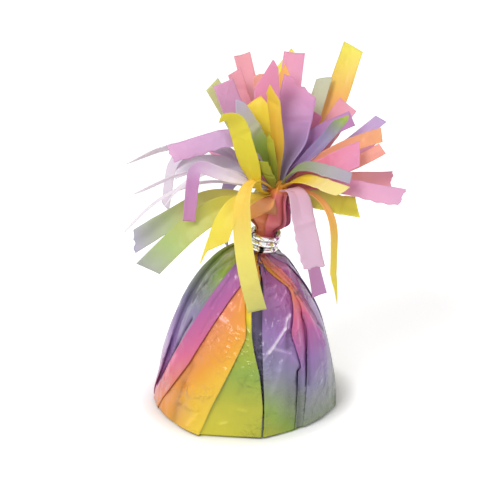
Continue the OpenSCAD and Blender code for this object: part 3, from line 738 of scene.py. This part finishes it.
def pleated_rings(edges, sides, radius, depth, lap, samples):
    """Rings of knife pleats. Each panel runs between two edges. Where it lies on top its edge is proud
    and rolled, and where it lies under it is sunk by the depth and runs on below its neighbour by the lap.
    Returns the azimuth and radius of each point, its panel and place across it, and the shade in the fold."""
    count = len(sides)
    azimuths, radii, panels, places, shades = [], [], [], [], []
    lap_angle = np.degrees(lap / radius)
    for k in range(count):
        after = (k + 1) % count
        left = edges[:, k] - (sides[k] > 0) * lap_angle
        right = edges[:, after] + (360 if after == 0 else 0) + (sides[after] < 0) * lap_angle
        across = (1 - np.cos(np.linspace(0, np.pi, samples[k]))) / 2
        u = np.broadcast_to(across, (len(radius), samples[k]))
        az = mix(left[:, None], right[:, None], u)
        from_left = (1 - u) ** 2 if sides[k] < 0 else 0 * u
        from_right = u**2 if sides[after] > 0 else 0 * u
        proud = np.maximum(from_left, from_right)
        if sides[k] < 0 < sides[after]:
            proud = 1 - u * (1 - u)
        arc = np.radians(right - left)[:, None] * radius[:, None]
        rolled = 0
        if sides[k] < 0:
            rolled = rolled + np.exp(-((u * arc / LIP_R) ** 2))
        if sides[after] > 0:
            rolled = rolled + np.exp(-(((1 - u) * arc / LIP_R) ** 2))
        under = np.full(u.shape, 1.0)
        if sides[k] > 0:
            under = np.minimum(under, np.maximum(u * arc - lap, 0))
        if sides[after] < 0:
            under = np.minimum(under, np.maximum((1 - u) * arc - lap, 0))
        shades.append(np.exp(-under / FOLD_SHADE))
        azimuths.append(az)
        radii.append(radius[:, None] - depth[:, None] * (1 - proud) - LIP_R * rolled)
        panels.append(np.full(u.shape, k))
        places.append(u)
    return [np.concatenate(a, 1) for a in (azimuths, radii, panels, places, shades)]


def pleat_feet():
    """The azimuths of the pleats' feet, with the first one again after a whole turn."""
    return np.array([p.edges[0] for p in PLEATS] + [PLEATS[0].edges[0] + 360])


def rim_shape(panel, u):
    """How far the rim's outline lies from a circle, as a share: straight between the pleats' feet."""
    foot = pleat_feet()
    rim = np.array([p.rim for p in PLEATS] + [PLEATS[0].rim])
    straight = np.array([p.straight for p in PLEATS])
    half = (foot[panel + 1] - foot[panel]) / 2
    chord = mix(1, cos(half) / cos(half * (2 * u - 1)), straight[panel])
    return chord * mix(rim[panel], rim[panel + 1], u)


def dome_rings():
    """The rounded side is a superellipse of revolution, leaned and tilted towards the neck as it rises, and
    closed in to the collar over its last share. Returns for each ring its radius, the place and height of
    its middle, its tilt, its height share, its height before closing, and how far it has closed."""
    v = np.linspace(0, 1, DOME_ROWS)
    phi = SHOULDER_ANGLE * np.minimum(v / (1 - CLOSE_SHARE), 1)
    z = FILM_T * 0.4 + (CROWN_H - FILM_T) * sin(phi) ** (2 / CROWN_POWER)
    r = BASE_R * cos(phi) ** (2 / SIDE_POWER)
    lean = NECK_LEAN * (np.maximum(z - LEAN_START, 0) / (TIE_Z - LEAN_START)) ** LEAN_POWER
    lean = lean + BODY_SWAY * sin(180 * z / CROWN_H)
    tilt = NECK_TILT * smooth((z - LEAN_START) / (CROWN_H - LEAN_START))
    collar = NECK_AT - COLLAR_DROP * NECK_AXIS
    close = smooth((v - (1 - CLOSE_SHARE)) / CLOSE_SHARE) ** 0.8
    t = np.maximum.accumulate(mix(z / CROWN_H, 1, close))
    radius = mix(r, NECK_R + COLLAR_ROOM, close)
    middle_x, middle_z = mix(lean, collar[0], close), mix(z, collar[2], close)
    return radius, middle_x, middle_z, mix(tilt, NECK_TILT, close), t, z, close


def film_crumples(a, t, close, folds):
    """Unevenness of the stretched film: small crinkles and a slow sag over the body, folds that run up
    each panel, and gathers that grow towards the collar."""
    body = smooth(t / 0.15) * (1 - close)
    upright = smooth((t - 0.1) / 0.5) * (1 - close)
    gather = smooth((t - 0.62) / 0.3) * (1 - 0.7 * close)
    return (
        CRINKLE * body * crumple(a, t * 2, 4, 11)
        + SAG * body * ripple(a, t * 2, 3, 12)
        + PANEL_FOLD * upright * crumple(folds, t * 2, 0.8, 14)
        + GATHER_FOLD * gather * crumple(a * 4, t * 0.5, 4, 13)
    )


def pressed_creases(a, t):
    """The creases along straight lines on the unrolled side. Each falls off with the distance from its
    line, sharply in height and softly in colour, where painted highlights lie along the raised creases and
    painted shade along the sunk ones. Returns the height and the painted light."""
    height, paler = 0, 0
    for start, low, end, high, proud, wide, paleness_and_painted_light in CREASES:
        from_x, to_x = np.radians(start) * CREASE_R, np.radians(end) * CREASE_R
        away = near_line(a * CREASE_R, t * CREASE_UP, (from_x, low * CREASE_UP, to_x, high * CREASE_UP))
        height = height + proud * np.exp(-away / wide)
        # painted highlights and painted shade along the crease's line
        paler = paler + paleness_and_painted_light * np.exp(-((away / wide) ** 2))
    return height, paler


def dome_film():
    """Knife pleats on the rings of the side, with flats at the rim, a tuck under the foot, crumples and
    creases. Shade is painted into the film's colour in the folds, at the tuck and on the sunk panel, and
    highlights and shade are painted along the creases and low on one back panel."""
    ring_r, middle_x, middle_z, tilt, t, z, close = dome_rings()
    edges = np.stack([eased(EDGE_HEIGHTS, p.edges, t) for p in PLEATS], 1)
    depth = PLEAT_DEPTH * mix(FOOT_DEPTH, 1, smooth(t / 0.4)) * np.minimum(1, ring_r / BASE_R + 0.4)
    width = np.diff(np.hstack([edges, edges[:, :1] + 360]), axis=1)
    finer = [FRONT_DETAIL if 170 < p.edges[0] < 360 else BACK_DETAIL for p in PLEATS]
    samples = np.maximum(10, width.mean(0) * finer).astype(int)
    sides = [p.side for p in PLEATS]
    az, radius, panel, u, shade = pleated_rings(edges, sides, ring_r, depth, PLEAT_LAP, samples)
    t_at, z_at, ring, depth, close = (a[:, None] for a in (t, z, ring_r, depth, close))
    sunk = np.array([p.sunk for p in PLEATS])[panel] * smooth(t_at / 0.35)
    radius = radius - sunk * depth * np.minimum(1, 6 * u * (1 - u))
    radius = radius + ring * (mix(rim_shape(panel, u), 1, smooth(t_at / 0.5)) - 1)
    radius = radius - FOOT_TUCK * (1 - smooth(z_at / TUCK_H))
    across = u * np.radians(np.take_along_axis(width, panel, 1)) * ring
    radius = radius + film_crumples(np.radians(az), t_at, close, across / PANEL_FOLD_W + panel * 7)
    height, crease_light = pressed_creases(np.radians(az), t_at)
    radius = radius + height
    # each panel's painted light: a painted highlight low on the side above zero, painted shade below zero
    paler = np.array([p.paler for p in PLEATS])[panel]
    paleness_and_painted_light = np.where(paler > 0, paler * (1 - smooth((t_at - 0.35) / 0.3)), paler)
    # the whole film a little deeper in tone, and painted shade in the folds beside the pleats' edges
    paleness_and_painted_light = paleness_and_painted_light - 0.12 - 0.2 * shade * smooth(t_at / 0.2)
    # painted shade at the tuck under the foot, and the creases' painted highlights and shade
    paleness_and_painted_light = paleness_and_painted_light - 0.85 * (1 - smooth((z_at - 0.2 * TUCK_H) / (0.8 * TUCK_H))) + crease_light
    x, tilt = radius * cos(az), tilt[:, None]
    at_x, at_z = middle_x[:, None] + x * cos(tilt), middle_z[:, None] - x * sin(tilt)
    points = np.stack([at_x, radius * sin(az), at_z], -1)
    tints = np.stack([np.interp(t, TINT_HEIGHTS, p.tints) for p in PLEATS], 1)
    gains = np.stack([mix(p.foot_gain, p.neck_gain, t) for p in PLEATS], 1)
    tint = np.take_along_axis(tints, panel, 1) + np.take_along_axis(gains, panel, 1) * u
    grid = (points, tint, np.clip(paleness_and_painted_light, -0.9, 0.9))
    piece = film_object("wrapped_dome", [grid], wrap=True, thickness=WRAP_T, inward=True)
    place(piece, WRAP_FILM, "film_magenta", "film_dome")


def foot_film():
    """The film under the weight: flat rings inside the rim's outline, lifted a little by its creases."""
    share = np.linspace(0, 1, 26)[:, None]
    u = np.tile(np.linspace(0, 1, 12, endpoint=False), len(PLEATS))
    panel = np.repeat(np.arange(len(PLEATS)), 12)
    foot = pleat_feet()
    az = mix(foot[panel], foot[panel + 1], u)
    r = (BASE_R * rim_shape(panel, u) - FOOT_INSET) * np.sqrt(np.maximum(share, 1e-6))
    x, y = r * cos(az), r * sin(az)
    z = FOOT_LIFT + FOOT_CRINKLE * crumple(x * 90, y * 90, 2, 21) * (1 - share**6)
    points = np.stack([x, y, z], -1)
    piece = film_object("folded_foot", [(points, 0.1 + x * 6, 0.0)], wrap=True, thickness=THIN_T)
    place(piece, WRAP_FILM, "film_yellow", "film_base")


# The throat and the gather


def throat_radius(s):
    """The bunched film's radius: the neck's at the tie, widest half way up, and the gather's at the top."""
    waist, widest = 0.2 * THROAT_H, 0.5 * THROAT_H
    return np.where(
        s < widest,
        mix(NECK_R, THROAT_R, smooth((s - waist) / (widest - waist))),
        mix(THROAT_R, HUB_R, smooth((s - widest) / (THROAT_H - widest))),
    )


def throat_film():
    """Pleated rings along the leaning neck, bulging a little to the left, closed by a creased cap on the
    gather's ball."""
    s = np.linspace(-COLLAR_DROP, THROAT_H, 60)
    radius = throat_radius(s)
    swell = smooth((s - 0.1 * THROAT_H) / (0.3 * THROAT_H))
    azimuth, sides, at_tie, at_gather = zip(*THROAT_PLEATS)
    azimuth = np.array(azimuth, float)
    twist = 5 * np.sin(np.arange(len(azimuth)) * 2.1)
    edges = azimuth[None, :] + twist[None, :] * (s[:, None] / THROAT_H)
    depth = mix(COLLAR_ROOM, THROAT_PLEAT, swell)
    az, r, panel, u, shade = pleated_rings(edges, sides, radius, depth, THROAT_LAP, [18] * len(sides))
    r = r + THROAT_CRUMPLE * swell[:, None] * crumple(np.radians(az), s[:, None] * 60, 2, 31)
    below_gather = 1 - smooth((s[:, None] / THROAT_H - 0.6) / 0.4)
    bulge = np.exp(-(((az - BULGE_AT) / BULGE_WIDE) ** 2))
    r = r + THROAT_BULGE * swell[:, None] * bulge * below_gather
    points = neck_point(r, az, np.broadcast_to(s[:, None], r.shape))
    tint = mix(np.array(at_tie)[panel], np.array(at_gather)[panel], smooth(s / THROAT_H)[:, None])
    el = np.linspace(0, 88, 22)[1:, None]
    last = az[-1][None, :]
    cap_r = (r[-1][None, :] * cos(el)) * (1 + 0.12 * sin(el) * np.sin(np.radians(last * 9)))
    cap = neck_point(cap_r, np.broadcast_to(last, cap_r.shape), THROAT_H + HUB_R * sin(el) + 0 * cap_r)
    tint_cap = mix(tint[-1][None, :], 0.88, smooth(el / 40))
    # painted shade in the throat's folds, growing as the film swells out
    deeper_and_painted_shade = np.concatenate([-0.5 * shade * swell[:, None], 0 * cap_r])
    grid = (np.concatenate([points, cap]), np.concatenate([tint, tint_cap]), deeper_and_painted_shade)
    piece = film_object("gathered_throat", [grid], wrap=True, thickness=THIN_T, inward=True)
    place(piece, WRAP_FILM, "film_coral", "film_throat")


# The tie


def tie_cord():
    """A helix on the neck, swept by a puffed, softly dented section, with its two ends running straight."""
    turns = np.linspace(0, CORD_TURNS, CORD_TURNS * CORD_STEPS)
    ring_r = NECK_R + FIT_GAP + CORD_PUFF * CORD_R
    line = neck_point(ring_r + 0 * turns, 90 + 360 * turns, CORD_PITCH * (turns - CORD_TURNS / 2))
    ends = [line[0] + (line[0] - line[1]) * k for k in (6, 3)]
    tails = [line[-1] + (line[-1] - line[-2]) * k for k in (3, 6)]
    line = np.concatenate([ends, line, tails])
    ahead = np.gradient(line, axis=0)
    ahead /= np.linalg.norm(ahead, axis=1)[:, None]
    side = np.cross(ahead, NECK_AXIS)
    side /= np.linalg.norm(side, axis=1)[:, None]
    up = np.cross(side, ahead)
    around = np.linspace(0, 360, 24, endpoint=False)[None, :]
    along = np.arange(len(line))[:, None] / CORD_STEPS
    dent = 1 + 0.10 * crumple(along * 5, around / 57, 2, 41)
    count = np.arange(len(line))
    close = np.minimum(1, np.minimum(count, count[::-1]))[:, None]
    r = CORD_PUFF * CORD_R * dent * np.maximum(close, 0.02)
    points = (
        line[:, None, :]
        + (r * cos(around))[..., None] * side[:, None, :]
        + (1.02 * r * sin(around))[..., None] * up[:, None, :]
    )
    piece = mesh_object("foil_tie", points, grid_faces(*points.shape[:2], 0, True))
    place(piece, foil_cord_material(), "tie_cord", "neck_tie")


# The fringe


def strip_heading(strip, s):
    """The direction at each share of the length, as unit vectors, and the azimuth. The elevation climbs
    from the start to the rise by a quarter of the length, and falls over the span about the bend."""
    climb = (strip.rise - strip.start) * smooth(s / 0.25)
    droop = (strip.fall - strip.rise) * smooth((s - strip.bend) / strip.span + 0.5)
    el = strip.start + climb + droop
    a = strip.azimuth + strip.turn * s
    return np.stack([cos(el) * cos(a), cos(el) * sin(a), sin(el)], -1), a


def strip_frame(strip):
    """The centre line as the running sum of its headings, its sideways and upward directions and width."""
    s = np.linspace(0, 1, STRIP_ROWS)
    ahead, az = strip_heading(strip, s)
    middle, _ = strip_heading(strip, (s[1:] + s[:-1]) / 2)
    root = HUB_AT + (HUB_R + ROOT_GAP - ROOT_TUCK) * ahead[0]
    step = (STRIP_L * strip.length + ROOT_TUCK) / (STRIP_ROWS - 1)
    line = root + np.concatenate([np.zeros((1, 3)), np.cumsum(middle * step, 0)])
    across = np.stack([-sin(az), cos(az), 0 * az], -1)
    above = np.cross(ahead, across)
    turned = (strip.roll * smooth(s / 0.4) + strip.twist * s)[:, None]
    side = across * cos(turned) + above * sin(turned)
    face = above * cos(turned) - across * sin(turned)
    w = STRIP_W * strip.width * mix(ROOT_W_SHARE, 1, smooth(s / 0.45))
    return s, line, side, face, w


def tip_loss(cut, lean, x, width, dice):
    """How much shorter the strip is at each place x across it, from -1 to 1, for each way of cutting. The
    lean says towards which side, and how steeply."""
    slope = np.abs(lean) * (1 - np.sign(lean) * x) / 2
    if cut == "point":
        return width * 1.2 * np.abs(x - lean) / (1 + np.abs(lean))
    if cut == "blade":
        return width * 3.5 * slope
    if cut == "tail":
        return width * (0.9 * slope + 0.5 * smooth((1 - np.sign(lean) * x - 0.15) / 0.15))
    if cut == "round":
        return width * 0.35 * (1 - np.sqrt(np.maximum(1 - x**2, 0)))
    if cut == "notch":
        steps = 0.05 * smooth(np.sin(x * 6.2 + 1) * 3) + 0.03 * np.sin(x * 9)
        return width * (slope + steps)
    if cut == "torn":
        jags = np.abs(np.sin(x * 2.6 + dice.uniform(0, 3)))
        jags = jags + 0.4 * np.abs(np.sin(x * 7.1 + dice.uniform(0, 3)))
        return width * (slope + 0.08 * jags)
    return width * slope


def strip_grid(strip, seed):
    """The strip's surface: its frame, creased along the middle at the root and a little cupped further
    out, with one pressed fold across it and the cut at its tip. Returns its points, its tint, and how much
    paler it is, with painted shade where that is below zero."""
    dice = np.random.default_rng(seed)
    s, line, side, face, w = strip_frame(strip)
    x = np.linspace(-1, 1, STRIP_COLUMNS)
    loss = tip_loss(strip.cut, strip.lean, x, w[-1], dice) / (STRIP_L * strip.length)
    at = s[:, None] * (1 - loss[None, :] * smooth((s[:, None] - 0.3) / 0.7))

    def along(values):
        return np.stack([np.interp(at, s, values[:, k]) for k in range(3)], -1)

    width = np.interp(at, s, w)
    crease = 0.25 * (1 - smooth(at / 0.8)) * np.abs(x)
    cup = dice.uniform(-0.08, 0.12) * smooth(at / 0.6) * (x**2 - 0.4)
    wave = 0.035 * smooth(at / 0.7) * np.sin(at * dice.uniform(4, 7) + dice.uniform(0, 6))
    edge = 0.03 * smooth(at / 0.5) * x**2 * np.sin(at * dice.uniform(9, 16) + dice.uniform(0, 6) + x)
    fold_at = dice.uniform(0.5, 0.85) + dice.uniform(-0.05, 0.05) * x
    fold = 0.06 * dice.choice([-1, 1]) * np.maximum(0, 1 - np.abs(at - fold_at) / 0.05)
    lift = width * (crease + cup + wave + edge + fold)
    sway = width * 0.04 * np.sin(at * 5 + dice.uniform(0, 6)) * smooth(at / 0.6)
    if strip.cut == "torn":
        ragged = 0.06 * np.sin(at * 37 + 2 * x) * np.sin(at * 23) * smooth((at - 0.4) / 0.3)
        sway = sway + width * ragged * (x * np.sign(strip.lean) < -0.5)
    points = along(line) + along(side) * (x * width / 2 + sway)[..., None] + along(face) * lift[..., None]
    # paler film above zero and painted shade below zero, from the root to the tip
    fade = mix(strip.root_fade, strip.tip_fade, smooth((at - 0.25) / 0.5))
    return points, strip.tint + strip.run * at**strip.late, fade


def slot_of(strip):
    """The record's slot of the colour that the strip has half way along its tint's run."""
    names = "yellow yellow_green green grey_green grey_lilac lilac magenta pink coral orange".split()
    return "film_" + names[int(round(((strip.tint + strip.run / 2) % 1) * 10)) % 10]


def fringe():
    """Each named strip is a piece of its own, and each row at the back is one piece."""
    for i, row in enumerate(FRINGE):
        strip = Strip(*row)
        piece = film_object("fringe_" + strip.name, [strip_grid(strip, 100 + i)])
        place(piece, FRINGE_FILM, slot_of(strip), "strip_" + strip.name)
    for i, (name, count, first, step, *rest) in enumerate(BACK_ROWS):
        strips = [Strip(name, first + step * k, *rest) for k in range(count)]
        grids = [strip_grid(strip, 200 + 10 * i + k) for k, strip in enumerate(strips)]
        piece = film_object("row_" + name, grids)
        place(piece, FRINGE_FILM, slot_of(strips[0]), name)


def inner_parts():
    """The casting, its cup and its card keep their CAD shapes."""
    plaster, cup, board = (0.84, 0.82, 0.78), (0.94, 0.94, 0.93), (0.72, 0.60, 0.45)
    finishes = {
        "casting": grainy_material("cast plaster", plaster, (0.70, 0.68, 0.64), 900.0, 0.9, 0.5),
        "casting_cup": grainy_material("moulded cup", cup, (0.90, 0.90, 0.89), 250.0, 0.35, 0.05),
        "base_card": grainy_material("grey board", board, (0.58, 0.47, 0.35), 1500.0, 0.85, 0.3),
    }
    for name, material in finishes.items():
        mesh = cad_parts[name].data
        mesh.materials.clear()
        mesh.materials.append(material)


def add_floor():
    """A white table top, seen pure white where no shadow falls."""
    mesh = bpy.data.meshes.new("floor")
    h = TABLE_HALF
    mesh.from_pydata([(-h, -h, 0), (h, -h, 0), (h, h, 0), (-h, h, 0)], [], [(0, 1, 2, 3)])
    floor = bpy.data.objects.new("floor", mesh)
    bpy.context.scene.collection.objects.link(floor)
    material, nodes, links, shader = new_material("white table")
    settle(shader, Base_Color=(0.9, 0.9, 0.9, 1), Roughness=0.9)
    settle(shader, Specular_IOR_Level=0.1, Emission_Color=(1, 1, 1, 1))
    open_air = node(nodes, "ShaderNodeAmbientOcclusion", Distance=0.009)
    clear = calculated(nodes, links, "POWER", open_air.outputs["AO"], 4)
    part = calculated(nodes, links, "MULTIPLY", clear, TABLE_GLOW)
    shown = calculated(nodes, links, "MULTIPLY", seen_directly(nodes, links), part)
    links.new(shown, shader.inputs["Emission Strength"])
    mesh.materials.append(material)


def add_light():
    """A bright room all round, a large soft lamp above the left, a weaker one at the right and a low one."""
    world = bpy.data.worlds.new("room")
    bpy.context.scene.world = world
    world.use_nodes = True
    nodes, links = world.node_tree.nodes, world.node_tree.links
    room = settle(nodes["Background"], Color=(1, 1, 1, 1), Strength=ROOM_LIGHT)
    shown = node(nodes, "ShaderNodeBackground", Color=(1, 1, 1, 1), Strength=1.0)
    blend = nodes.new("ShaderNodeMixShader")
    for i, socket in enumerate((seen_directly(nodes, links), room.outputs[0], shown.outputs[0])):
        links.new(socket, blend.inputs[i])
    links.new(blend.outputs[0], nodes["World Output"].inputs["Surface"])
    for name, where, size, power in (
        ("key", (-0.35, -0.45, 0.75), 0.35, 4.6),
        ("fill", (0.6, -0.3, 0.5), 0.5, 1.0),
        ("low lamp", (0.55, -0.55, 0.18), 0.10, 0.32),
    ):
        data = bpy.data.lights.new(name, "AREA")
        data.size = size
        data.energy = power
        lamp = bpy.data.objects.new(name, data)
        bpy.context.scene.collection.objects.link(lamp)
        lamp.location = where
        lamp.rotation_euler = (Vector((0, 0, 0.05)) - Vector(where)).to_track_quat("-Z", "Y").to_euler()


dome_film()
foot_film()
throat_film()
tie_cord()
fringe()
inner_parts()
add_floor()
add_light()
bpy.context.scene.view_settings.view_transform = "Standard"
